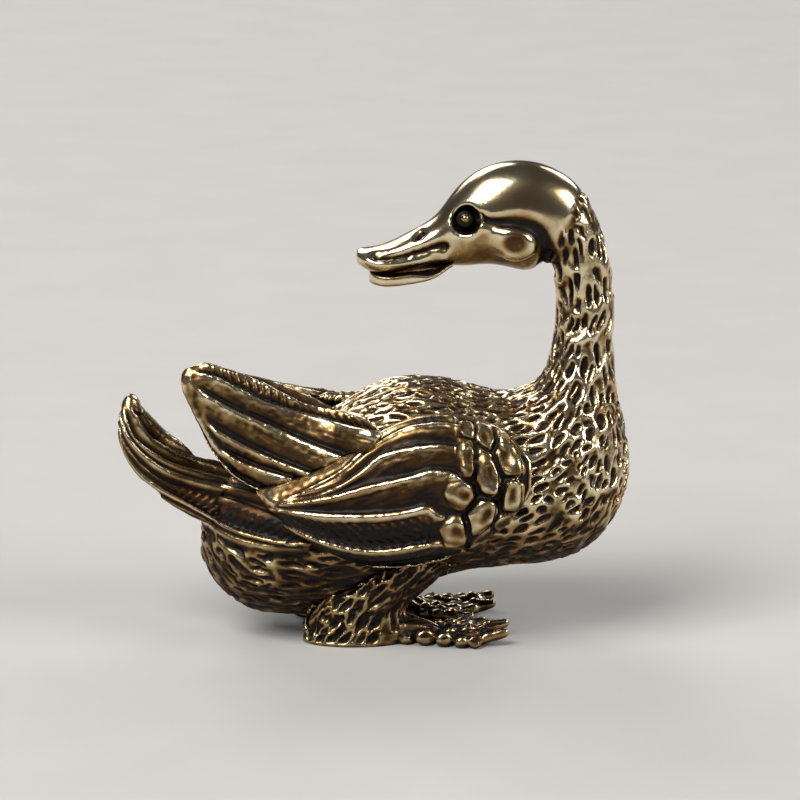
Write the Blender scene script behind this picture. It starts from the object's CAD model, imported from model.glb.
# %% [markdown]
# # A brass duck, carved and finished
#
# The real ornament is a small brass duck, 36 mm long, that looks back over its tail. It was carved in
# wax, cast, blackened all over and then rubbed bright, so every hollow stays dark and every ridge
# shines. This lesson starts from the plain castings of the frame and does the same work in that order:
# a wax blank for each casting, the carving, the dark patina, and the polish.

# %% Load the plain castings
import math

import bmesh
import bpy
import numpy as np
from mathutils import Matrix, Vector, kdtree, noise
from mathutils.bvhtree import BVHTree


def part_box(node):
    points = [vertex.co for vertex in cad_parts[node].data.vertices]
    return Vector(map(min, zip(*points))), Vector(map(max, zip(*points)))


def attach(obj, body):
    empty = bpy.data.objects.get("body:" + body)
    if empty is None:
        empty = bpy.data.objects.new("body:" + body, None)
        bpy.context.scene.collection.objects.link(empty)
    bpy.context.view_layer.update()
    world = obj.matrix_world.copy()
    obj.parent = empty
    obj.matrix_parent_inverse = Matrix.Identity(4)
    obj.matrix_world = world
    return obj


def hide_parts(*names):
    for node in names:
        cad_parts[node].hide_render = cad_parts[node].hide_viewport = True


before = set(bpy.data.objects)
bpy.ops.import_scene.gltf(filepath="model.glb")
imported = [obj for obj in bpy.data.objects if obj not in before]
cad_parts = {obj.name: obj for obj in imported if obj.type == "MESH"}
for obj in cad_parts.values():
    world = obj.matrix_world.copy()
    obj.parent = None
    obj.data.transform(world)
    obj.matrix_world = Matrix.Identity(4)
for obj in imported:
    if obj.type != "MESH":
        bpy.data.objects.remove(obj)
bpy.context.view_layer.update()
MM = 0.001
print("castings", sorted(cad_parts))

# %% [markdown]
# ## Camera
#
# The picture was taken from the bird's right, a little above its back, with a long lens. A long lens
# keeps the tail and the breast at one scale. The camera could be placed by eye, but two angles and a
# distance are easier to change later.

# %% Place the camera
CAMERA_RISE = math.radians(14.0)
CAMERA_AIM = Vector((1.9, 0.0, 16.4)) * MM
CAMERA_DISTANCE = 300.0 * MM


def aim(thing, place, target):
    """Puts a lamp or a camera at a place, looking at a target."""
    thing.location = place
    thing.rotation_euler = (target - place).to_track_quat("-Z", "Y").to_euler()
    bpy.context.scene.collection.objects.link(thing)


lens = bpy.data.cameras.new("long_lens")
lens.lens = 194.6
lens.clip_start = 0.005
camera = bpy.data.objects.new("camera", lens)
back = Vector((0.0, -math.cos(CAMERA_RISE), math.sin(CAMERA_RISE)))
aim(camera, CAMERA_AIM + back * CAMERA_DISTANCE, CAMERA_AIM)
bpy.context.scene.camera = camera
bpy.context.scene.view_settings.view_transform = "Standard"
print("camera at mm", [round(v / MM, 1) for v in camera.location])

# %% [markdown]
# ## Colours and nodes
#
# Colours are written as the hex values that a picture editor shows. Shader sockets take linear light,
# so one function turns the one into the other. A second function adds a shader node, sets it and links
# it, which keeps the materials below short enough to read.


# %% Two helpers for materials
def linear(hex_colour):
    """An sRGB hex colour as the linear colour that a shader socket takes."""
    parts = [int(hex_colour[k : k + 2], 16) / 255 for k in (1, 3, 5)]
    return [p / 12.92 if p <= 0.04045 else ((p + 0.055) / 1.055) ** 2.4 for p in parts] + [1.0]


def add(tree, kind, settings=None, values=None, links=None):
    """Adds a node with its settings, its sockets' values and the sockets that feed it."""
    node = tree.nodes.new(kind)
    for name, value in (settings or {}).items():
        setattr(node, name, value)
    for socket, value in (values or {}).items():
        node.inputs[socket].default_value = value
    for socket, source in (links or {}).items():
        tree.links.new(source, node.inputs[socket])
    return node


print("brass in linear light", [round(c, 3) for c in linear("#b8954c")])

# %% [markdown]
# ## Studio
#
# A pale floor and four soft boxes show the metal plainly. Brass shows little colour of its own: it
# mirrors the room, so the room has bright boxes with darker grey between them. The key lamp is above
# the tail and in front, a second lamp lights the breast, and two weaker ones edge the bird from behind.

# %% Floor
FLOOR_RADIUS = 3.0
FLOOR_MOTTLE = 9.0 * MM

matt_floor = bpy.data.materials.new("matt_pale_card")
matt_floor.use_nodes = True
card = matt_floor.node_tree
place = add(card, "ShaderNodeTexCoord")
mottle = add(
    card,
    "ShaderNodeTexNoise",
    values={"Scale": 1 / FLOOR_MOTTLE, "Detail": 3.0},
    links={"Vector": place.outputs["Object"]},
)
tone = add(card, "ShaderNodeValToRGB", links={"Fac": mottle.outputs["Fac"]})
tone.color_ramp.elements[0].color = linear("#b7b4af")
tone.color_ramp.elements[1].color = linear("#bfbcb7")
paper = card.nodes["Principled BSDF"]
paper.inputs["Roughness"].default_value = 0.85
card.links.new(tone.outputs["Color"], paper.inputs["Base Color"])

disc = bmesh.new()
bmesh.ops.create_circle(disc, cap_ends=True, segments=96, radius=FLOOR_RADIUS)
floor_mesh = bpy.data.meshes.new("floor")
disc.to_mesh(floor_mesh)
disc.free()
floor = bpy.data.objects.new("floor", floor_mesh)
floor_mesh.materials.append(matt_floor)
bpy.context.scene.collection.objects.link(floor)
print("floor of", FLOOR_RADIUS, "m")

# %% Lamps and room
LAMPS = {
    "key_box": ((-0.34, -0.36, 0.62), 0.5, 7.0),
    "breast_box": ((0.62, -0.22, 0.36), 0.3, 2.6),
    "tail_box": ((-0.24, 0.6, 0.46), 0.4, 2.4),
    "back_box": ((0.42, 0.6, 0.46), 0.3, 1.4),
}
for name, (where, size, watts) in LAMPS.items():
    light = bpy.data.lights.new(name, "AREA")
    light.size = size
    light.energy = watts
    lamp = bpy.data.objects.new(name, light)
    lamp.visible_camera = False
    aim(lamp, Vector(where), CAMERA_AIM)

room = bpy.data.worlds.new("grey_room")
room.use_nodes = True
room.node_tree.nodes["Background"].inputs["Color"].default_value = linear("#4a4a4d")
room.node_tree.nodes["Background"].inputs["Strength"].default_value = 1.0
bpy.context.scene.world = room
print("lamps", list(LAMPS))

# %% [markdown]
# ## Brass finishes
#
# Both finishes are cast brass that was blackened and then rubbed. The dark skin is left wherever the
# polishing cloth could not reach, so the colour follows one number on the surface: `patina`, from 0 on
# a rubbed ridge to 1 in a groove. It is worked out from the carved shape further on and kept as an
# attribute of each mesh. Mottling and fine scratches come from noise on object coordinates.

# %% Brass materials
MOTTLE = 1.3 * MM
TINT = 3.0 * MM
GRAIN = 0.14 * MM


def brass(name, ramp, gloss, dull, grain_height):
    """Cast brass with a dark patina: ramp gives the colour from rubbed ridge to groove."""
    finish = bpy.data.materials.new(name)
    finish.use_nodes = True
    tree = finish.node_tree
    metal = tree.nodes["Principled BSDF"]
    where = add(tree, "ShaderNodeTexCoord")
    patina = add(tree, "ShaderNodeAttribute", {"attribute_name": "patina"})
    mottle = add(
        tree,
        "ShaderNodeTexNoise",
        values={"Scale": 1 / MOTTLE, "Detail": 4.0, "Roughness": 0.6},
        links={"Vector": where.outputs["Object"]},
    )
    # The mottling moves the edge of the dark skin a little to and fro.
    shift = add(
        tree,
        "ShaderNodeMapRange",
        values={"From Min": 0.3, "From Max": 0.7, "To Min": -0.12, "To Max": 0.12},
        links={"Value": mottle.outputs["Fac"]},
    )
    darkness = add(
        tree,
        "ShaderNodeMath",
        {"operation": "ADD", "use_clamp": True},
        links={0: patina.outputs["Fac"], 1: shift.outputs["Result"]},
    )
    colour = add(tree, "ShaderNodeValToRGB", links={"Fac": darkness.outputs["Value"]})
    stops = colour.color_ramp.elements
    while len(stops) < len(ramp):
        stops.new(0.5)
    for stop, (position, hex_colour) in zip(stops, ramp):
        stop.position = position
        stop.color = linear(hex_colour)
    tint = add(
        tree,
        "ShaderNodeTexNoise",
        values={"Scale": 1 / TINT, "Detail": 2.0},
        links={"Vector": where.outputs["Object"]},
    )
    warmth = add(
        tree,
        "ShaderNodeMapRange",
        values={"From Min": 0.5, "From Max": 0.7, "To Min": 0.0, "To Max": 0.35},
        links={"Value": tint.outputs["Fac"]},
    )
    warm = add(
        tree,
        "ShaderNodeMix",
        {"data_type": "RGBA", "blend_type": "MULTIPLY"},
        {7: linear("#e0a070")},
        {0: warmth.outputs["Result"], 6: colour.outputs["Color"]},
    )
    tree.links.new(warm.outputs[2], metal.inputs["Base Color"])
    rough = add(
        tree,
        "ShaderNodeMapRange",
        values={"From Min": 0.1, "From Max": 0.9, "To Min": gloss, "To Max": dull},
        links={"Value": darkness.outputs["Value"]},
    )
    tree.links.new(rough.outputs["Result"], metal.inputs["Roughness"])
    metallic = add(
        tree,
        "ShaderNodeMapRange",
        values={"From Min": 0.5, "From Max": 1.0, "To Min": 1.0, "To Max": 0.55},
        links={"Value": darkness.outputs["Value"]},
    )
    tree.links.new(metallic.outputs["Result"], metal.inputs["Metallic"])
    grain = add(
        tree,
        "ShaderNodeTexNoise",
        values={"Scale": 1 / GRAIN, "Detail": 3.0},
        links={"Vector": where.outputs["Object"]},
    )
    bump = add(
        tree,
        "ShaderNodeBump",
        values={"Strength": 1.0, "Distance": grain_height},
        links={"Height": grain.outputs["Fac"]},
    )
    tree.links.new(bump.outputs["Normal"], metal.inputs["Normal"])
    return finish


antique_brass = brass(
    "cast_antique_brass",
    [(0.0, "#e8dab8"), (0.3, "#a0885c"), (0.6, "#513920"), (0.9, "#130d08")],
    gloss=0.22,
    dull=0.5,
    grain_height=0.012 * MM,
)
polished_brass = brass(
    "rubbed_polished_brass",
    [(0.0, "#e9dbb9"), (0.3, "#a98f5f"), (0.6, "#563c21"), (0.9, "#130d08")],
    gloss=0.18,
    dull=0.5,
    grain_height=0.006 * MM,
)
print("finishes", antique_brass.name, polished_brass.name)

# %% [markdown]
# ## Wax blanks
#
# A casting's CAD surface has long thin triangles, which cannot be carved. A voxel remesh turns a copy
# of it into even little squares, as a block of wax is even all through. The blank is held in
# millimetres while it is carved, because the remesh has a smallest voxel, and goes back to metres when
# it is cast. Sculpting by hand would do the same work, but a script gives the same bird each time.


# %% Two helpers for blanks
def step(low, high, values):
    """0 at low and before it, 1 at high and beyond it, and a smooth change between them."""
    share = np.clip((values - low) / (high - low), 0.0, 1.0)
    return share * share * (3 - 2 * share)


def modified(mesh, kind, settings):
    """What a modifier with these settings makes of a mesh, which is then thrown away."""
    draft = bpy.data.objects.new("draft", mesh)
    bpy.context.scene.collection.objects.link(draft)
    modifier = draft.modifiers.new("draft", kind)
    for name, value in settings.items():
        setattr(modifier, name, value)
    graph = bpy.context.evaluated_depsgraph_get()
    made = bpy.data.meshes.new_from_object(draft.evaluated_get(graph))
    bpy.data.objects.remove(draft)
    bpy.data.meshes.remove(mesh)
    return made


# %% The blank
MIRROR_REACH = 0.8


class Wax:
    """A blank in millimetres: its points are pushed about, and its squares stay as they are."""

    def __init__(self, nodes, voxel, prepare=None):
        form = bmesh.new()
        for node in nodes:
            form.from_mesh(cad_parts[node].data)
        bmesh.ops.remove_doubles(form, verts=form.verts, dist=1e-7)
        bmesh.ops.scale(form, vec=(1 / MM, 1 / MM, 1 / MM), verts=form.verts)
        if prepare:
            prepare(form)
        rough = bpy.data.meshes.new("rough")
        form.to_mesh(rough)
        form.free()
        self.mesh = modified(rough, "REMESH", {"mode": "VOXEL", "voxel_size": voxel})
        self.points = self.read("vertices", "co", 3, float)
        self.edges = self.read("edges", "vertices", 2, np.int32)
        self.patina = np.zeros(len(self.points))
        self.count = np.bincount(self.edges.ravel(), minlength=len(self.points))
        print("blank", nodes, len(self.points), "points")

    def read(self, items, name, width, kind):
        """One property of all points, edges, corners or faces as rows of numbers."""
        got = getattr(self.mesh, items)
        rows = np.empty(len(got) * width, kind)
        got.foreach_get(name, rows)
        return rows.reshape(-1, width)

    def normals(self):
        """The way the surface faces at each point, as it is carved now."""
        self.mesh.vertices.foreach_set("co", self.points.ravel())
        self.mesh.update()
        return self.read("vertex_normals", "vector", 3, float)

    def push(self, amount):
        """Moves each point out along its normal, or in where the amount is negative."""
        self.points += self.normals() * amount[:, None]

    def relaxed(self, values, rounds):
        """Values averaged with their neighbours' a number of times."""
        a, b = self.edges.T
        size = len(self.points)
        values = values.reshape(size, -1)
        for _ in range(rounds):
            total = values.copy()
            for k in range(values.shape[1]):
                total[:, k] += np.bincount(a, values[b, k], size) + np.bincount(b, values[a, k], size)
            values = total / (self.count + 1)[:, None]
        return values

    def smooth(self, rounds):
        """Rubs the whole blank smooth."""
        self.points = self.relaxed(self.points, rounds)

    def smooth_near(self, share, rounds):
        """Rubs the blank smooth where the share is 1, less where it is smaller."""
        self.points += share[:, None] * (self.relaxed(self.points, rounds) - self.points)

    def even_sides(self, lean):
        """Copies the upper half of one side and the lower half of the other across the middle.

        Lean is how far up is tilted towards the tail at each point, since the neck stands upright."""
        corners = self.read("loops", "vertex_index", 1, np.int32)[:, 0]
        starts = self.read("polygons", "loop_start", 1, np.int32)[:, 0]
        rings = [ring.tolist() for ring in np.split(corners, starts[1:])]
        other = BVHTree.FromPolygons((self.points * (1, -1, 1)).tolist(), rings)
        normals = self.relaxed(self.normals(), 25)
        upper = step(-0.3, 0.3, normals[:, 2] * np.cos(lean) - normals[:, 0] * np.sin(lean))
        share = np.where(self.points[:, 1] < 0, upper, 1 - upper)
        for k in np.flatnonzero(share > 0):
            near = other.find_nearest(self.points[k], MIRROR_REACH)[0]
            if near:
                self.points[k] += share[k] * (np.array(near) - self.points[k])

    def hollow(self, rounds):
        """How far each point lies below the surface round it: plus in a groove, minus on a ridge."""
        return np.einsum("ij,ij->i", self.relaxed(self.points, rounds) - self.points, self.normals())


# %% Cut a blank, and press wax on it
def trim(mesh, keep):
    """Cuts a blank at a plane above a level, and keeps or drops all that lies below the level."""
    point, way, level, keeps_below = keep
    form = bmesh.new()
    form.from_mesh(mesh)
    faces = [face for face in form.faces if face.calc_center_median().z > level]
    if not keeps_below:
        above = set(faces)
        bmesh.ops.delete(form, geom=[face for face in form.faces if face not in above], context="FACES")
        faces = form.faces[:]
    edges = {edge for face in faces for edge in face.edges}
    reached = {vert for face in faces for vert in face.verts}
    geom = faces + list(edges) + list(reached)
    bmesh.ops.bisect_plane(form, geom=geom, dist=1e-5, plane_co=point, plane_no=way, clear_inner=True)
    form.to_mesh(mesh)
    form.free()


def press_drop(form, spot, half_size, turn=Matrix.Identity(4), fineness=3):
    """Presses a rounded drop of wax on a blank that isn't remeshed yet."""
    place = Matrix.Translation(spot) @ turn @ Matrix.Diagonal((*half_size, 1))
    bmesh.ops.create_icosphere(form, subdivisions=fineness, radius=1, matrix=place)


# %% [markdown]
# ## Casting a piece
#
# When a blank is carved, it is cast: the dark skin is worked out from its hollows, the mesh goes back
# to metres, any cut end gets a flat cap, and the piece is handed to the frame in its casting's place.
# Two blurs are compared with the surface, a wide one for the broad hollows and a narrow one for the
# fine strokes. A piece with too many triangles is thinned where it is flattest.

# %% Patina and casting
UNDERSIDE = 0.6
BROAD_HOLLOWS = 0.75
FINE_STROKES = 1.3
TRIANGLE_LIMIT = 194000


def blacken(wax, low, high, wide=40, narrow=5, forced=None):
    """Sets the patina: 0 on ridges that stand out by low, 1 in grooves of depth high or where forced."""
    depth = BROAD_HOLLOWS * wax.hollow(wide) + FINE_STROKES * wax.hollow(narrow)
    unrubbed = UNDERSIDE * step(-0.1, 0.7, -wax.relaxed(wax.normals(), 12)[:, 2])
    wax.patina = np.clip(step(low, high, depth) + unrubbed, 0, 1)
    if forced is not None:
        wax.patina = np.maximum(wax.patina, forced)


def thinned(mesh):
    """The mesh with its flattest faces merged, where it has more triangles than a piece may have."""
    triangles = sum(len(face.vertices) - 2 for face in mesh.polygons)
    if triangles <= TRIANGLE_LIMIT:
        return mesh
    return modified(mesh, "DECIMATE", {"ratio": TRIANGLE_LIMIT / triangles})


def cast(wax, name, nodes, finish, keep=None):
    """Pours a carved blank as a finished piece in the place of its nodes."""
    wax.normals()
    mesh = wax.mesh.copy()
    layer = mesh.attributes.new("patina", "FLOAT", "POINT")
    layer.data.foreach_set("value", wax.patina.astype(np.float32))
    if keep:
        trim(mesh, keep)
    mesh = thinned(mesh)
    mesh.name = name
    form = bmesh.new()
    form.from_mesh(mesh)
    bmesh.ops.scale(form, vec=(MM, MM, MM), verts=form.verts)
    for face in form.faces:
        face.smooth = True
    rim = [edge for edge in form.edges if edge.is_boundary]
    if rim:
        caps = bmesh.ops.holes_fill(form, edges=rim, sides=0)["faces"]
        for face in caps:
            face.smooth = False
        for edge in rim:
            edge.smooth = False
    form.to_mesh(mesh)
    form.free()
    mesh.materials.clear()
    mesh.materials.append(finish)
    piece = bpy.data.objects.new(name, mesh)
    bpy.context.scene.collection.objects.link(piece)
    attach(piece, "root")
    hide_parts(*nodes)
    print("cast", name, len(mesh.polygons), "faces, mean patina", round(float(wax.patina.mean()), 2))


# %% [markdown]
# ## Carving feathers
#
# Each long feather overlaps the next one like a weatherboard: its upper edge is a raised rim, and it
# slopes down to a deep groove just above the next rim. The rims are drawn as lines on the flank, seen
# from the side, and the height at a place depends on how far across its feather it lies. Drawing the
# lines keeps the same feathers on both wings, because the bird is carved alike on its two sides.

# %% Places on the flank
SIDE_LEAN = 0.2495
CURVE_PIECES = 6


def bumps(points, size, seed):
    """Soft unevenness from -1 to 1 with bumps of about the given size in millimetres."""
    drift = Vector((seed * 7.3, seed * 3.1, seed * 5.7))
    return np.array([noise.noise(Vector(p) / size + drift) for p in points])


def side_place(points):
    """Each point's place on the flank, as it is seen from the side and a little above."""
    return np.stack([points[:, 0], points[:, 2] - SIDE_LEAN * np.abs(points[:, 1])], 1)


def from_spot(place, spot, half_size=(1.0, 1.0)):
    """How far each place lies from a spot, counted in half sizes."""
    gap = (place - spot) / half_size
    return np.hypot(gap[:, 0], gap[:, 1])


def curve(line):
    """A smooth line through the given places, run on a little at both ends."""
    spots = np.array(line, float)
    first = spots[0] + (spots[0] - spots[1]) / np.linalg.norm(spots[0] - spots[1])
    last = spots[-1] + (spots[-1] - spots[-2]) / np.linalg.norm(spots[-1] - spots[-2])
    spots = np.vstack([first, spots, last])
    padded = np.vstack([2 * spots[0] - spots[1], spots, 2 * spots[-1] - spots[-2]])
    drawn = []
    for p0, p1, p2, p3 in zip(padded, padded[1:], padded[2:], padded[3:]):
        for t in np.arange(CURVE_PIECES) / CURVE_PIECES:
            bend = 2 * p0 - 5 * p1 + 4 * p2 - p3 + (3 * p1 - p0 - 3 * p2 + p3) * t
            drawn.append(p1 + 0.5 * t * (p2 - p0 + t * bend))
    return np.array(drawn + [spots[-1]])


def beside(place, line):
    """Signed distance to a drawn line, plus above it, and the length run along it."""
    near = np.full(len(place), np.inf)
    side, run, walked = np.zeros(len(place)), np.zeros(len(place)), 0.0
    for start, end in zip(line, line[1:]):
        way = end - start
        length = np.hypot(*way)
        share = np.clip((place - start) @ way / length**2, 0, 1)
        gap = place - start - share[:, None] * way
        far = np.hypot(gap[:, 0], gap[:, 1])
        closer = far < near
        near[closer] = far[closer]
        side[closer] = np.sign(way[0] * gap[closer, 1] - way[1] * gap[closer, 0])
        run[closer] = walked + share[closer] * length
        walked += length
    return near * np.where(side == 0, 1, side), run


# %% Feathers between lines
# A feather's section: share of its width from its upper edge down, then height and dark skin there.
ACROSS = [0.0, 0.05, 0.16, 0.45, 0.75, 0.9, 1.0]
HEIGHT = [0.3, 0.85, 1.0, 0.5, 0.0, -0.5, -0.25]
COVERT_SECTION = (ACROSS, HEIGHT, [0.6, 0.0, 0.2, 0.68, 0.85, 1.0, 0.9])
FLIGHT_SECTION = (ACROSS, HEIGHT, [0.6, 0.0, 0.05, 0.35, 0.7, 1.0, 0.9])
RIB_SECTION = (
    [0.0, 0.1, 0.3, 0.5, 0.65, 0.85, 1.0],
    [0.2, 0.8, 1.0, 0.6, -0.1, -0.6, -0.2],
    [0.4, 0.0, 0.0, 0.2, 0.75, 1.0, 0.8],
)
STREAK = 0.06
STREAK_SHADE = 0.25
BARB_GAP = 0.6
STEEPEST = 0.42
EDGE_FADE = 0.25


def feathers(place, lines, height, section, barb=0.0, barbed=(), lean=0.9, shade=0.0):
    """The carved height and the dark skin of weatherboard feathers between lines, from the top down."""
    rows = [beside(place, curve(line)) for line in lines]
    gap = np.array([row[0] for row in rows])
    run = np.array([row[1] for row in rows])
    under = (gap < 0).sum(0)
    k, each = np.clip(under - 1, 0, len(lines) - 2), np.arange(len(place))
    upper, lower, along = np.abs(gap[k, each]), np.abs(gap[k + 1, each]), run[k, each]
    width = np.maximum(upper + lower, 1e-6)
    share = upper / width
    high = np.minimum(height, STEEPEST * width)
    across, heights, darks = section
    shape = np.interp(share, across, heights) * high
    inner = step(0.15, 0.35, share) * step(0.4, 0.9, width)
    grain = bumps(np.stack([along, upper, 5.0 * k], 1) * (0.6, 4.0, 1.0), 1.0, 31)
    stroke = np.sin(2 * math.pi * (along - lean * upper) / BARB_GAP + 2.0 * grain)
    shape += inner * (STREAK * grain + barb * stroke * np.isin(k, barbed))
    inside = (under > 0) & (under < len(lines))
    edge = np.where(under == 0, np.abs(gap[0]), np.abs(gap[-1]))
    fade = np.where(under == 0, 0.3, heights[0]) * height * np.exp(-edge / EDGE_FADE)
    dark = np.interp(share, across, darks) + (STREAK_SHADE * grain + shade * np.isin(k, barbed)) * inner
    dark = np.clip(dark, 0, 1) * step(0.2, 0.7, width)
    return np.where(inside, shape, np.where(under == 0, -fade, fade)), dark * inside


# %% [markdown]
# ## Wing coverts
#
# The covert shield has six long feathers that run from the tip to the shoulder, and small rounded
# feathers at the shoulder that stand out like beads and leaves. Those are pressed on the blank as
# pellets before it is remeshed, as a carver adds drops of wax, so they have real edges all round.

# %% Shoulder pellets
# Each pellet: one end, the other end, half its width, and how far its hollow lies from its middle.
SHOULDER_PELLETS = [
    ((5.9, 10.7), (5.9, 8.9), 1.0, 0.5),
    ((5.6, 8.1), (5.6, 6.3), 1.05, 0.4),
    ((5.7, 5.8), (5.7, 4.7), 0.75, 0.1),
    ((6.2, 13.5), (6.6, 11.1), 0.62, 0.3),
    ((7.5, 12.6), (8.1, 9.6), 0.74, 0.35),
    ((8.0, 9.4), (6.8, 6.9), 0.82, 0.4),
    ((8.2, 7.3), (7.0, 5.5), 0.62, 0.2),
    ((7.4, 14.6), (8.2, 13.2), 0.55, -0.1),
    ((8.7, 13.8), (9.9, 11.0), 0.70, -0.3),
    ((9.8, 10.9), (9.5, 8.2), 0.62, -0.2),
    ((9.7, 8.4), (8.3, 7.0), 0.52, 0.0),
    ((6.1, 14.6), (6.9, 14.1), 0.5, 0.0),
    ((-7.5, 9.4), (-6.5, 9.1), 0.42, 0.0),
]
PELLET_OVERHANG = 0.1
PELLET_HEIGHT = 0.42
PELLET_STEEPEST = 0.45
PELLET_SUNK = 0.7
CUPPED_WIDTH = 0.55
CUP_DEPTH = 0.16
FAR_OUT = 40.0
NOT_NEAR = 9.0


def seen(tree, spot, side):
    """The surface point and its normal at a place on the flank, on the side where Y has that sign."""
    start = Vector((spot[0], side * FAR_OUT, spot[1] + SIDE_LEAN * FAR_OUT))
    point, normal, _, _ = tree.ray_cast(start, Vector((0, -side, -SIDE_LEAN)).normalized())
    return point, normal


def press_pellets(form, side):
    """Presses the small shoulder feathers on a covert shield's blank."""
    tree = BVHTree.FromBMesh(form)
    for start, end, half_width, _ in SHOULDER_PELLETS:
        middle = ((start[0] + end[0]) / 2, (start[1] + end[1]) / 2)
        (a, _), (b, _), (centre, normal) = (seen(tree, spot, side) for spot in (start, end, middle))
        if a is None or b is None or centre is None:
            print("no room for the pellet at", middle)
            continue
        along = (b - a).normalized()
        out = (normal - along * normal.dot(along)).normalized()
        axes = Matrix((along, out.cross(along), out)).transposed().to_4x4()
        high = min(PELLET_HEIGHT, PELLET_STEEPEST * half_width)
        half_size = ((b - a).length / 2 + PELLET_OVERHANG, half_width, high)
        press_drop(form, centre - PELLET_SUNK * high * out, half_size, axes)


def pellet_cover(place):
    """How near each place is to the best pellet and to the second best, in half widths, and its hollow."""
    first, second = np.full(len(place), NOT_NEAR), np.full(len(place), NOT_NEAR)
    cup = np.zeros(len(place))
    for start, end, half_width, shift in SHOULDER_PELLETS:
        a, b = np.array(start), np.array(end)
        half_length = np.linalg.norm(b - a) / 2 + PELLET_OVERHANG
        way = (b - a) / np.linalg.norm(b - a)
        gap = place - (a + b) / 2
        far = np.hypot(gap @ way / half_length, (gap @ (way[1], -way[0])) / half_width)
        second = np.where(far < first, first, np.minimum(second, far))
        first = np.minimum(first, far)
        gap = gap - (shift, 0)
        deep = np.hypot(gap @ way / half_length, (gap @ (way[1], -way[0])) / half_width)
        if half_width >= CUPPED_WIDTH:
            cup = np.maximum(cup, (1 - step(0.1, 0.9, deep)) * (1 - step(0.65, 1.0, far)))
    return first, second, cup


# %% Carve the wing coverts
COVERT_RIMS = [
    [(-5.6, 9.6), (-2.4, 11.3), (-0.7, 12.8), (1.5, 14.6), (3.8, 15.4), (5.6, 15.2), (6.5, 14.7)],
    [
        (-6.4, 9.4), (-3.6, 10.3), (-1.7, 11.5), (0.3, 13.3), (2.2, 14.4), (4.2, 14.8), (6.1, 14.6),
        (6.9, 13.8),
    ],
    [
        (-6.7, 9.3), (-3.6, 9.8), (-1.2, 11.1), (0.3, 12.4), (1.9, 13.0), (4.2, 13.3), (5.8, 13.2),
        (6.9, 13.3),
    ],
    [
        (-6.9, 9.0), (-3.6, 9.5), (-0.4, 10.4), (2.2, 11.0), (3.8, 11.5), (5.1, 11.5), (6.1, 11.1),
        (6.5, 10.6),
    ],
    [(-6.9, 8.8), (-3.6, 8.5), (-0.7, 8.4), (1.9, 8.6), (3.6, 9.0), (4.3, 8.6)],
    [(-7.2, 8.5), (-5.8, 7.6), (-3.6, 6.6), (-1.2, 6.0), (0.8, 5.9), (4.0, 6.4)],
    [(-5.7, 7.0), (-3.1, 5.6), (-1.2, 4.9), (0.8, 4.7), (4.0, 5.2)],
]
PELLET_GAP_DEPTH = 0.36
PELLET_SHADE = 0.18

for side_name, side in (("right", -1), ("left", 1)):
    node = side_name + "_wing_coverts"
    shield = Wax([node], voxel=0.09, prepare=lambda form, side=side: press_pellets(form, side))
    shield.smooth(rounds=2)
    place = side_place(shield.points)
    facing = step(0.05, 0.4, shield.normals()[:, 1] * side)
    carved, dark = feathers(place, COVERT_RIMS, 0.2, COVERT_SECTION, barb=0.07, barbed=(0, 4), shade=0.2)
    carved += 0.05 * bumps(shield.points, 0.4, 1) + 0.04 * bumps(shield.points, 0.9, 2)
    first, second, cup = pellet_cover(place + 0.12 * bumps(shield.points, 0.8, 8)[:, None])
    pellets = 1 - step(0.95, 1.2, first)
    shoulder = np.maximum(step(5.6, 6.2, place[:, 0]), pellets)
    gaps = (1 - step(0.0, 0.4, second - first)) + step(1.2, 1.5, first)
    dents = 0.06 * bumps(shield.points, 0.55, 15)
    relief = 0.02 + dents - PELLET_GAP_DEPTH * np.clip(gaps, 0, 1) - CUP_DEPTH * cup
    carved = carved * (1 - shoulder) + shoulder * relief
    shield.push(shield.relaxed(carved * facing, 1)[:, 0])
    shield.smooth(rounds=1)
    pellet_dark = np.clip(PELLET_SHADE - 5 * dents + gaps + 0.15 * cup, 0, 1)
    dark = np.maximum(dark * (1 - shoulder), pellet_dark * shoulder)
    blacken(shield, low=-0.1, high=0.1, forced=dark * facing)
    cast(shield, node, [node], antique_brass)

# %% [markdown]
# ## Flight feathers
#
# The flight feathers rise from under the shield towards the tail. They are carved like the coverts, on
# both faces, because they stand clear of the body. The left bundle hangs a little lower than the right
# one, so its lines are lowered with it.

# %% Carve the flight feathers
FLIGHT_RIMS = [
    [(-12.2, 19.1), (-11.7, 19.1), (-9.7, 18.4), (-7.7, 17.7), (-6.4, 17.0), (-4.2, 16.0), (0.6, 15.0)],
    [(-12.1, 18.4), (-11.1, 18.2), (-9.0, 17.2), (-7.3, 16.3), (-4.7, 15.5), (-1.9, 14.7), (0.9, 14.1)],
    [(-12.4, 17.8), (-11.7, 17.1), (-10.2, 16.2), (-8.4, 15.3), (-6.6, 14.5), (-4.7, 13.6), (-0.8, 12.0)],
    [(-11.9, 15.3), (-11.0, 14.6), (-9.3, 13.6), (-7.4, 12.6), (-5.3, 11.7), (-3.4, 11.0), (-1.5, 10.3)],
    [(-10.4, 12.9), (-9.3, 12.3), (-7.6, 11.6), (-5.7, 11.0), (-3.6, 10.3)],
    [(-9.4, 11.1), (-8.1, 10.4), (-6.7, 9.8), (-5.0, 9.3)],
]
TRAILING_EDGE = [
    (-12.9, 18.7), (-13.1, 18.0), (-12.6, 16.3), (-11.7, 14.7), (-10.7, 12.8), (-9.5, 10.9), (-8.1, 9.2),
    (-7.3, 8.6),
]
EDGE_BEAD = 0.12
PEG_SPOT = (-2.8, 14.3)
FLIGHT_ROOT_X = 1.7
FLIGHT_LENGTH = 15.3
LEFT_DROP = 1.7


def sink(place, drop):
    """How far a lowered bundle hangs below the other one at each place."""
    return drop * np.clip((FLIGHT_ROOT_X - place[:, 0]) / FLIGHT_LENGTH, 0, 1)


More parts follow.
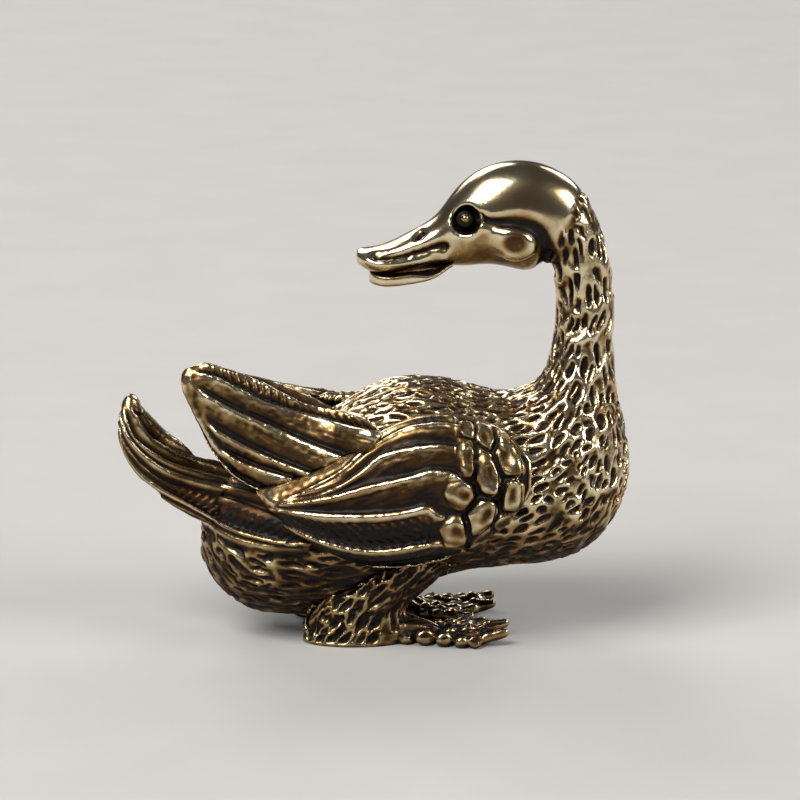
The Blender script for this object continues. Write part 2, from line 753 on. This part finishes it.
for side_name, drop in (("right", 0.0), ("left", LEFT_DROP)):
    node = side_name + "_flight_feathers"
    quills = Wax([node], voxel=0.08)
    quills.smooth_near(step(-11.2, -12.4, quills.points[:, 0]), rounds=250)
    quills.smooth(rounds=1)
    place = side_place(quills.points)
    place[:, 1] += sink(place, drop)
    quills.smooth_near(1 - step(0.6, 1.1, from_spot(place, PEG_SPOT)), rounds=60)
    carved, dark = feathers(place, FLIGHT_RIMS, 0.32, FLIGHT_SECTION, barb=0.08, barbed=(0,))
    edge = np.abs(beside(place, curve(TRAILING_EDGE))[0])
    blunt = 1 - step(-10.9, -12.2, place[:, 0])
    carved = carved * step(0.25, 0.7, edge) * blunt
    carved += EDGE_BEAD * np.exp(-((edge / 0.2) ** 2)) * step(18.2, 16.8, place[:, 1])
    carved += 0.05 * bumps(quills.points, 0.4, 3) + 0.04 * bumps(quills.points, 0.9, 9)
    facing = step(0.1, 0.4, np.abs(quills.normals()[:, 1]))
    quills.push(quills.relaxed(carved * facing, 1)[:, 0])
    quills.smooth(rounds=1)
    blacken(quills, low=-0.1, high=0.1, forced=dark * facing * blunt * step(0.25, 0.6, edge))
    cast(quills, node, [node], antique_brass)

# %% [markdown]
# ## Tail
#
# The tail is one curled bundle of ribs that meet at its tip: narrow ones above, then a broad one, and a
# thin edge below a dark gap. Its lines are drawn in the same way, and the lower ones run on over the
# rump. The tip is rounded with a drop of wax and then bent down a little.

# %% Lines of the tail
TAIL_RIMS = [
    [(-16.7, 17.1), (-15.9, 15.6), (-14.8, 14.35), (-13.1, 13.15), (-10.7, 12.5), (-9.2, 12.2)],
    [
        (-17.0, 16.6), (-16.4, 15.4), (-15.6, 13.9), (-14.1, 12.85), (-12.3, 12.2), (-10.7, 11.8),
        (-9.2, 11.4),
    ],
    [
        (-17.2, 16.0), (-16.7, 14.2), (-16.0, 13.3), (-14.5, 12.2), (-12.8, 11.5), (-9.9, 10.75),
        (-7.8, 10.3),
    ],
    [
        (-17.5, 15.7), (-17.0, 14.2), (-16.4, 13.2), (-15.6, 12.4), (-14.5, 11.6), (-12.3, 10.7),
        (-9.3, 10.1), (-7.0, 9.6),
    ],
    [
        (-17.65, 15.2), (-17.2, 13.5), (-16.1, 12.0), (-14.5, 10.7), (-12.6, 10.0), (-9.4, 9.2),
        (-7.7, 8.7), (-5.5, 7.9),
    ],
    [
        (-17.75, 15.0), (-17.3, 13.2), (-16.2, 11.5), (-14.6, 10.2), (-13.2, 9.4), (-11.9, 8.6),
        (-10.1, 7.56), (-8.4, 6.96), (-5.8, 6.36), (-4.0, 6.4),
    ],
    [
        (-17.9, 14.9), (-17.5, 13.0), (-16.5, 11.1), (-14.8, 9.6), (-11.9, 8.1), (-10.1, 7.0),
        (-8.4, 6.4), (-5.8, 6.0), (-4.0, 6.0),
    ],
]
RIB_RELIEF = 0.32
RIB_BARB = 0.08
TIP_SPOT = (-17.05, 0.0, 16.9)
TIP_HALF_SIZE = (0.8, 0.95, 1.0)
TIP_FORWARD = 0.3
TIP_LOWERED = 0.9


def below_rib(place):
    """1 in the dark gap between the tail's broad rib and its lowest edge."""
    under = beside(place, curve(TAIL_RIMS[4]))[0]
    above = beside(place, curve(TAIL_RIMS[5]))[0]
    return step(0.0, -0.2, under) * step(0.0, 0.2, above)


# %% Carve the tail
tail = Wax(["tail"], voxel=0.08, prepare=lambda form: press_drop(form, TIP_SPOT, TIP_HALF_SIZE))
tail.points[:, 0] += TIP_FORWARD * step(13.0, 17.0, tail.points[:, 2])
tail.points[:, 2] -= TIP_LOWERED * step(12.0, 17.5, tail.points[:, 2])
tail.smooth_near(step(15.0, 16.2, tail.points[:, 2]), rounds=100)
tail.smooth(rounds=1)
place = np.stack([tail.points[:, 0], tail.points[:, 2] + SIDE_LEAN * tail.points[:, 1]], 1)
carved, dark = feathers(place, TAIL_RIMS, RIB_RELIEF, RIB_SECTION, RIB_BARB, barbed=(4,), lean=-0.9)
blunt = 1 - step(15.3, 16.3, tail.points[:, 2])
carved = carved * blunt + 0.04 * bumps(tail.points, 0.45, 4)
tail.push(tail.relaxed(carved, 1)[:, 0])
tail.smooth(rounds=1)
tail_dark = np.maximum(0.9 * dark, 0.7 * below_rib(place)) * blunt
blacken(tail, low=-0.08, high=0.1, wide=10, forced=tail_dark)
cast(tail, "tail", ["tail"], antique_brass)

# %% [markdown]
# ## Gouge strokes
#
# The small feathers of the body are strokes of a gouge: short pits that follow the lie of the plumage,
# long on the neck and fine along the back. A table gives the heading and the size of the stroke at a
# few places, and every other place takes a blend of them. Strokes are scattered at random from a fixed
# seed, each one keeping its distance from the others.

# %% Gouge strokes
# Place (X, Z), heading (X, Z), then half length, half width and depth, all in millimetres.
STROKES = np.array([
    (13.3, 28.7, 0.38, -0.92, 0.80, 0.36, 0.28),
    (14.5, 26.0, 0.05, -1.0, 0.95, 0.42, 0.32),
    (14.7, 23.0, -0.1, -1.0, 0.95, 0.42, 0.32),
    (14.8, 20.0, -0.25, -0.97, 0.85, 0.40, 0.30),
    (12.2, 20.0, -0.45, -0.9, 0.75, 0.33, 0.28),
    (14.5, 14.0, -0.6, -0.8, 0.72, 0.38, 0.30),
    (16.5, 14.0, -0.3, -0.95, 0.72, 0.38, 0.28),
    (12.0, 11.0, -0.9, -0.4, 0.70, 0.36, 0.28),
    (11.0, 6.5, -0.95, -0.1, 0.75, 0.34, 0.27),
    (8.0, 11.0, -1.0, -0.1, 0.70, 0.32, 0.26),
    (9.0, 17.5, -0.9, -0.3, 0.70, 0.26, 0.23),
    (3.0, 18.0, -1.0, 0.0, 0.80, 0.22, 0.20),
    (-3.0, 17.0, -0.95, -0.2, 0.80, 0.22, 0.20),
    (0.0, 9.5, -1.0, 0.0, 0.80, 0.26, 0.22),
    (4.0, 4.5, -1.0, 0.0, 0.80, 0.28, 0.24),
    (-6.0, 8.0, -1.0, 0.05, 1.05, 0.30, 0.27),
    (-6.0, 3.0, -1.0, 0.05, 1.05, 0.30, 0.27),
    (-11.0, 6.5, -0.85, 0.5, 0.85, 0.33, 0.28),
])
WANDER = 0.13


def laid_flat(heading, normals):
    """Headings laid along the surface, each one long."""
    heading = heading - normals * np.einsum("ij,ij->i", heading, normals)[:, None]
    return heading / np.maximum(np.linalg.norm(heading, axis=1, keepdims=True), 1e-6)


def stroke_table(points, normals):
    """The heading and size of a stroke at each point, blended from the table."""
    gap = points[:, None, [0, 2]] - STROKES[None, :, :2]
    weight = 1 / (0.4 + (gap**2).sum(2)) ** 2
    blend = weight @ STROKES[:, 2:] / weight.sum(1, keepdims=True)
    heading = np.stack([blend[:, 0], np.zeros(len(points)), blend[:, 1]], 1)
    return laid_flat(heading, normals), blend[:, 2:]


def gouge(wax, where, heading, size, wall, seed, spacing=1.9):
    """The depth of scattered strokes at each point: a stroke ends where it meets the next one's wall."""
    rng = np.random.default_rng(seed)
    normals = wax.normals()
    wander = WANDER * np.stack([bumps(wax.points, 0.55, seed + k) for k in range(3)], 1)
    tree = kdtree.KDTree(len(wax.points))
    for k, point in enumerate(wax.points):
        tree.insert(point, k)
    tree.balance()
    free, own, made = where.copy(), np.zeros(len(wax.points)), 0
    first, second = np.full(len(wax.points), NOT_NEAR), np.full(len(wax.points), NOT_NEAR)
    for centre in rng.permutation(np.flatnonzero(where)):
        if not free[centre]:
            continue
        half_length, half_width, depth = size[centre] * rng.uniform(0.7, 1.25, 3)
        turn = rng.normal(0, 0.2)
        near = np.array([found[1] for found in tree.find_range(wax.points[centre], 2.4 * half_length)])
        gap = wax.points[near] - wax.points[centre] + wander[near]
        across = np.cross(normals[centre], heading[centre])
        along = gap @ (heading[centre] * math.cos(turn) + across * math.sin(turn)) / half_length
        aside = gap @ (across * math.cos(turn) - heading[centre] * math.sin(turn)) / half_width
        front = normals[near] @ normals[centre] > 0.2
        far = np.where(front, np.hypot(along, aside * (1 + 0.25 * along)), NOT_NEAR)
        closer = far < first[near]
        second[near] = np.where(closer, first[near], np.minimum(second[near], far))
        own[near] = np.where(closer, depth, own[near])
        first[near] = np.minimum(first[near], far)
        free[near[far < spacing]] = False
        made += 1
    print("strokes", made)
    return own * step(wall, wall + 0.7, second - first) * (1 - step(0.75, 1.25, first))


# %% [markdown]
# ## Body and head in one blank
#
# The head is soldered on at the top of the neck, and the plumage runs on over the joint. So both are
# carved in one blank and cut apart afterwards. The two sides are made alike first, and the joint is
# rubbed smooth, as a file does after soldering.

# %% Blank of the body with the head
# The neck ends on this plane, where the head is soldered on.
NECK_CUT = Vector((13.4, 0.0, 28.7))
HEAD_SIDE = Vector((-0.880, 0.0, 0.474))
THROAT_LEVEL = 22.0
NECK_LEVELS = [12, 16, 20, 25, 28.7]
NECK_LEANS = [0, 45, 90, 95, 150]
NAIL_SPOT = (-0.72, 0, 26.85)
NAIL_HALF_SIZE = (0.42, 0.75, 0.36)


def sink_head(form):
    """Pushes the head's cut end into the neck, so that the two fuse, and adds the nail of the bill."""
    low = [v for v in form.verts if 0.035 < (v.co - NECK_CUT).dot(HEAD_SIDE) < 0.09]
    bmesh.ops.translate(form, vec=-0.4 * HEAD_SIDE, verts=low)
    press_drop(form, NAIL_SPOT, NAIL_HALF_SIZE)
    print("points sunk at the neck", len(low))


bird = Wax(["body", "head"], voxel=0.106, prepare=sink_head)
behind_cut = (np.array(NECK_CUT) - bird.points) @ np.array(HEAD_SIDE)
on_head = (bird.points[:, 2] > THROAT_LEVEL) & (behind_cut < 0)
lean = np.radians(np.interp(bird.points[:, 2], NECK_LEVELS, NECK_LEANS))
lean = lean * step(6, 10, bird.points[:, 0]) * ~on_head
for _ in range(2):
    bird.even_sides(lean)
    bird.smooth(rounds=3)
joint = np.exp(-((behind_cut / 0.9) ** 2)) * step(24.5, 26.0, bird.points[:, 2])
bird.smooth_near(joint, rounds=80)

# %% [markdown]
# ## Head
#
# The head is the smoothest part and was rubbed the most. The eye lies in a round socket, a deep groove
# runs from behind the eye over the cheek, the cheek is a lobe that grows out of the jaw, and the bill
# has a nostril and a raised rim. The grooves are drawn as lines on the flank, like the feathers.

# %% Lines of the head
CHEEK_GROOVE = [
    (7.4, 29.2), (7.9, 28.9), (8.8, 28.8), (9.7, 28.8), (10.8, 28.5), (11.6, 27.9), (12.0, 26.8),
    (11.9, 25.9),
]
BILL_GROOVE = [(4.9, 27.15), (4.4, 27.1), (3.2, 26.75), (1.8, 26.45), (0.3, 26.5)]
BILL_RIM = [(5.0, 26.4), (3.2, 26.15), (1.0, 26.0), (-0.4, 26.25)]
NOSTRIL = [(3.35, 28.2), (3.1, 27.9)]
EYE_SPOT = (6.45, 29.0)
CHEEK_SPOT, CHEEK_HALF_SIZE = (9.7, 27.3), (1.45, 1.1)
JAW_SPOT, JAW_HALF_SIZE = (7.9, 27.0), (1.3, 1.1)
CHEEK_SHADE = 0.75


def groove(place, line, half_width, depth):
    """A smooth groove along a drawn line, without running on at its ends."""
    far, _ = beside(place, curve(line)[CURVE_PIECES:-CURVE_PIECES])
    return -depth * np.exp(-((far / half_width) ** 2))


# %% Carve the head
place = side_place(bird.points)
cheek = from_spot(place, CHEEK_SPOT, CHEEK_HALF_SIZE)
jaw = from_spot(place, JAW_SPOT, JAW_HALF_SIZE)
bird.smooth_near((1 - step(0.7, 1.2, jaw)) * on_head, rounds=60)
bird.smooth_near((1 - step(1.0, 1.4, cheek)) * on_head, rounds=12)
normals = bird.normals()
facing = step(0.05, 0.35, np.abs(normals[:, 1]) * 0.97 + normals[:, 2] * 0.24) * on_head
wider = 0.28 + 0.3 * step(7.4, 11.0, place[:, 0])
ragged = 1 + 0.5 * bumps(bird.points, 0.4, 14)
nostril = groove(place, NOSTRIL, half_width=0.22, depth=0.42)
carved = groove(place, CHEEK_GROOVE, wider, 0.42) + groove(place, BILL_GROOVE, 0.32, 0.4) * ragged
carved += nostril - groove(place, BILL_RIM, half_width=0.22, depth=0.12)
carved -= 0.07 * (1 - step(0.35, 0.75, cheek))
bird.push(bird.relaxed(carved * facing, 1)[:, 0])
socket = 1 - step(0.9, 1.1, from_spot(place, EYE_SPOT))
head_dark = np.maximum(socket, step(0.12, 0.35, -carved)) * facing
head_dark = np.maximum(head_dark, step(0.1, 0.25, -nostril) * on_head)
head_dark = np.maximum(head_dark, CHEEK_SHADE * (1 - step(0.4, 0.9, cheek)) * facing)
print("points on the head", on_head.sum(), "of", len(bird.points))

# %% [markdown]
# ## Plumage of the body
#
# The body gets its plumage in two passes over the table: broad cells first, whose walls stay as bright
# ridges, then short deep strokes inside them. Both fade out where the polished head begins. Over the
# rump, the lowest tail feathers run on as smooth bands until they go under the wing.

# %% Carve the body
# Shares of the table's half length, half width and depth.
CELL_SIZE = (1.5, 1.6, 0.5)
PIT_SIZE = (0.8, 0.58, 0.9)
BAND_RISE = 0.15

plumage = np.where(on_head, step(-0.7, 0.0, behind_cut), 1.0)
bird.push(0.08 * bumps(bird.points, 2.6, 5) * np.where(on_head, 0.4, 1.0))
bands, band_dark = feathers(place, TAIL_RIMS[3:], RIB_RELIEF, RIB_SECTION, RIB_BARB, barbed=(1,), lean=-0.9)
band_dark = np.maximum(band_dark, 0.75 * below_rib(place))
band_dark = np.maximum(band_dark, 0.7 * step(-10.3, -9.0, place[:, 0]) * step(8.4, 8.8, place[:, 1]))
on_band = np.abs(bands) * step(4.0, 5.0, -bird.points[:, 0])
on_band = step(0.0, 0.02, on_band) * (bird.points[:, 2] < 14)
heading, size = stroke_table(bird.points, bird.normals())
feathered = plumage > 0
cells = gouge(bird, feathered, heading, size * CELL_SIZE, wall=0.1, seed=11)
pits = gouge(bird, feathered, heading, size * PIT_SIZE, wall=0.5, seed=12, spacing=2.5)
dug = (cells + pits) * plumage
relief = 0.04 * plumage - dug + 0.04 * plumage * bumps(bird.points, 0.5, 13)
relief = relief * (1 - on_band) + (bands + BAND_RISE) * on_band
bird.push(bird.relaxed(relief, 1)[:, 0])

# %% Patina of body and head
HEAD_RUBBED = 0.55
FLANK_SHADE = 0.22
PATCHES = 0.3

blacken(bird, low=-0.09, high=0.08, forced=np.maximum(head_dark, band_dark * on_band))
rubbed = np.where(on_head, 1 - plumage, 0.0)
bird.patina *= 1 - HEAD_RUBBED * rubbed * (1 - head_dark)
shaded = step(9.0, 7.0, place[:, 1]) * step(1.5, 5.0, place[:, 1]) * step(4.0, -1.0, place[:, 0])
patches = PATCHES * bumps(bird.points, 1.6, 16) * plumage
bird.patina = np.clip(bird.patina + FLANK_SHADE * shaded + patches, 0, 1)
below_cut = (NECK_CUT, -HEAD_SIDE, THROAT_LEVEL, True)
above_cut = (NECK_CUT, HEAD_SIDE, THROAT_LEVEL, False)
cast(bird, "body", ["body"], antique_brass, keep=below_cut)
cast(bird, "head", ["head"], polished_brass, keep=above_cut)

# %% [markdown]
# ## Lower bill
#
# The mouth is open a little, and its floor is a dark tongue between the two halves of the bill. The
# tongue is pressed on as a drop, and the front of the lip is raised towards the upper bill. It is
# rubbed bright outside, like the head, and stays dark inside.

# %% Carve the lower bill
LIP_RISE = 0.42
TONGUE_SPOT = (3.0, 0.0, 25.75)
TONGUE_HALF_SIZE = (2.6, 0.95, 0.42)
TONGUE_TILT = Matrix.Rotation(math.radians(-10), 4, "Y")
MOUTH_HALF_SIZE = (2.9, 1.0, 0.9)


def press_tongue(form):
    """Adds the floor of the mouth, which closes the gap between the two halves of the bill."""
    press_drop(form, TONGUE_SPOT, TONGUE_HALF_SIZE, TONGUE_TILT)


lower = Wax(["lower_bill"], voxel=0.06, prepare=press_tongue)
lower.smooth(rounds=2)
front = 1 - step(2.4, 4.6, lower.points[:, 0])
lower.points[:, 2] += LIP_RISE * front * step(-0.4, 0.4, lower.normals()[:, 2])
lower.smooth(rounds=2)
from_tongue = np.linalg.norm((lower.points - TONGUE_SPOT) / MOUTH_HALF_SIZE, axis=1)
upward = lower.normals()[:, 2]
mouth = np.maximum(step(0.3, 0.7, upward), (from_tongue < 1) * step(-0.2, 0.1, upward))
blacken(lower, low=-0.05, high=0.12, forced=mouth)
cast(lower, "lower_bill", ["lower_bill"], polished_brass)

# %% [markdown]
# ## Eyes
#
# Each eye is a dark ball in its socket with a small bright bead on its front, which a polishing cloth
# reaches first. The patina is set by the distance from the bead, because a ball has no hollows.

# %% Carve the eyes
PUPIL_RADIUS = 0.28
PUPIL_OUT = 0.75
PUPIL_RISE = 0.15

for node, side in (("left_eye", -1), ("right_eye", 1)):
    low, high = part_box(node)
    centre, radius = (low + high) / 2 / MM, (high.x - low.x) / 2 / MM
    pupil = centre + Vector((0, side * radius * PUPIL_OUT, PUPIL_RISE))

    def press_pupil(form, pupil=pupil):
        """Adds the small bright bead on the front of the eyeball."""
        spot = Matrix.Translation(pupil)
        bmesh.ops.create_icosphere(form, subdivisions=3, radius=PUPIL_RADIUS, matrix=spot)

    eye = Wax([node], voxel=0.04, prepare=press_pupil)
    eye.smooth(rounds=1)
    eye.patina = step(0.24, 0.34, np.linalg.norm(eye.points - np.array(pupil), axis=1))
    cast(eye, node, [node], polished_brass)

# %% [markdown]
# ## Legs and feet
#
# The legs are feathered stumps that lean forward, and the feet are flat webs between beaded toes. Each
# leg is carved in one blank with its foot, so that the plumage runs on over the heel, and the two are
# cut apart where they are soldered.

# %% Shapes of the feet
SOLE_CUT = Vector((0.0, 0.0, 0.925))
UP = Vector((0.0, 0.0, 1.0))
CLAW_RISE = 0.25
CLAW_ROOT = 7.2
# The instep's middle: X, distance from the middle of the bird, Z.
INSTEP_SPOT = (2.7, 3.1, 0.75)
INSTEP_HALF_SIZE = (3.2, 1.1, 0.9)
INSTEP_TILT = Matrix.Rotation(math.radians(20), 4, "Y")
# Beads on the outer toe: X, distance from the middle of the bird, radius.
KNUCKLES = [(2.3, 4.1, 0.55), (3.6, 4.35, 0.58), (4.9, 4.65, 0.56), (6.1, 4.95, 0.52), (7.1, 5.15, 0.46)]


def sink_leg(form, side, back):
    """Pushes the leg's lower end into the heel, and adds the instep that slopes down to the toes."""
    low = [v for v in form.verts if 0.93 < v.co.z < 0.98]
    bmesh.ops.translate(form, vec=(0, 0, -0.3), verts=low)
    ahead, aside, level = INSTEP_SPOT
    press_drop(form, (ahead - back, side * aside, level), INSTEP_HALF_SIZE, INSTEP_TILT, fineness=4)
    for ahead, aside, radius in KNUCKLES:
        knuckle = Matrix.Translation((ahead - back, side * aside, radius * 0.85))
        bmesh.ops.create_icosphere(form, subdivisions=3, radius=radius, matrix=knuckle)


# %% Carve the legs and feet
SHIN_HEADING = (-0.62, 0.0, -0.78)
SHIN_STROKE = (1.1, 0.3, 0.28)
CREASE_GAP = 0.75
CREASE_HEIGHT = 0.09
LEG_SHADE = 0.2

for side_name, side, back, seed in (("right", -1, 0.0, 21), ("left", 1, 0.8, 22)):
    names = [side_name + "_leg", side_name + "_foot"]
    leg = Wax(names, voxel=0.085, prepare=lambda form, side=side, back=back: sink_leg(form, side, back))
    leg.points[:, 2] = np.maximum(leg.points[:, 2], 0)
    leg.smooth(rounds=2)
    leg.points[:, 2] += CLAW_RISE * np.maximum(leg.points[:, 0] + back - CLAW_ROOT, 0)
    normals = leg.normals()
    heading = laid_flat(np.tile(SHIN_HEADING, (len(leg.points), 1)), normals)
    size = np.tile(SHIN_STROKE, (len(leg.points), 1))
    level, ahead = leg.points[:, 2], leg.points[:, 0] + back
    shin = (level > 2.2) | ((level > 0.3) & (ahead < 0.2))
    dug = gouge(leg, shin, heading, size, wall=0.1, seed=seed)
    dug += gouge(leg, shin, heading, size * 0.5, wall=0.5, seed=seed + 2)
    creases = CREASE_HEIGHT * np.sin(2 * math.pi * (leg.points[:, 1] * side + 0.25 * ahead) / CREASE_GAP)
    web = step(0.3, 1.3, ahead) * (level > 0.35) * ~shin
    leg.push(leg.relaxed(0.04 - dug + creases * web, 1)[:, 0] * step(0.15, 0.5, level))
    blacken(leg, low=-0.1, high=0.1, forced=0.7 * web * (normals[:, 2] > 0.3) * (creases < 0.02))
    leg.patina = np.clip(leg.patina + LEG_SHADE, 0, 1)
    for part, way in (("_leg", UP), ("_foot", -UP)):
        name = side_name + part
        cast(leg, name, [name], antique_brass, keep=(SOLE_CUT, way, -1.0, True))
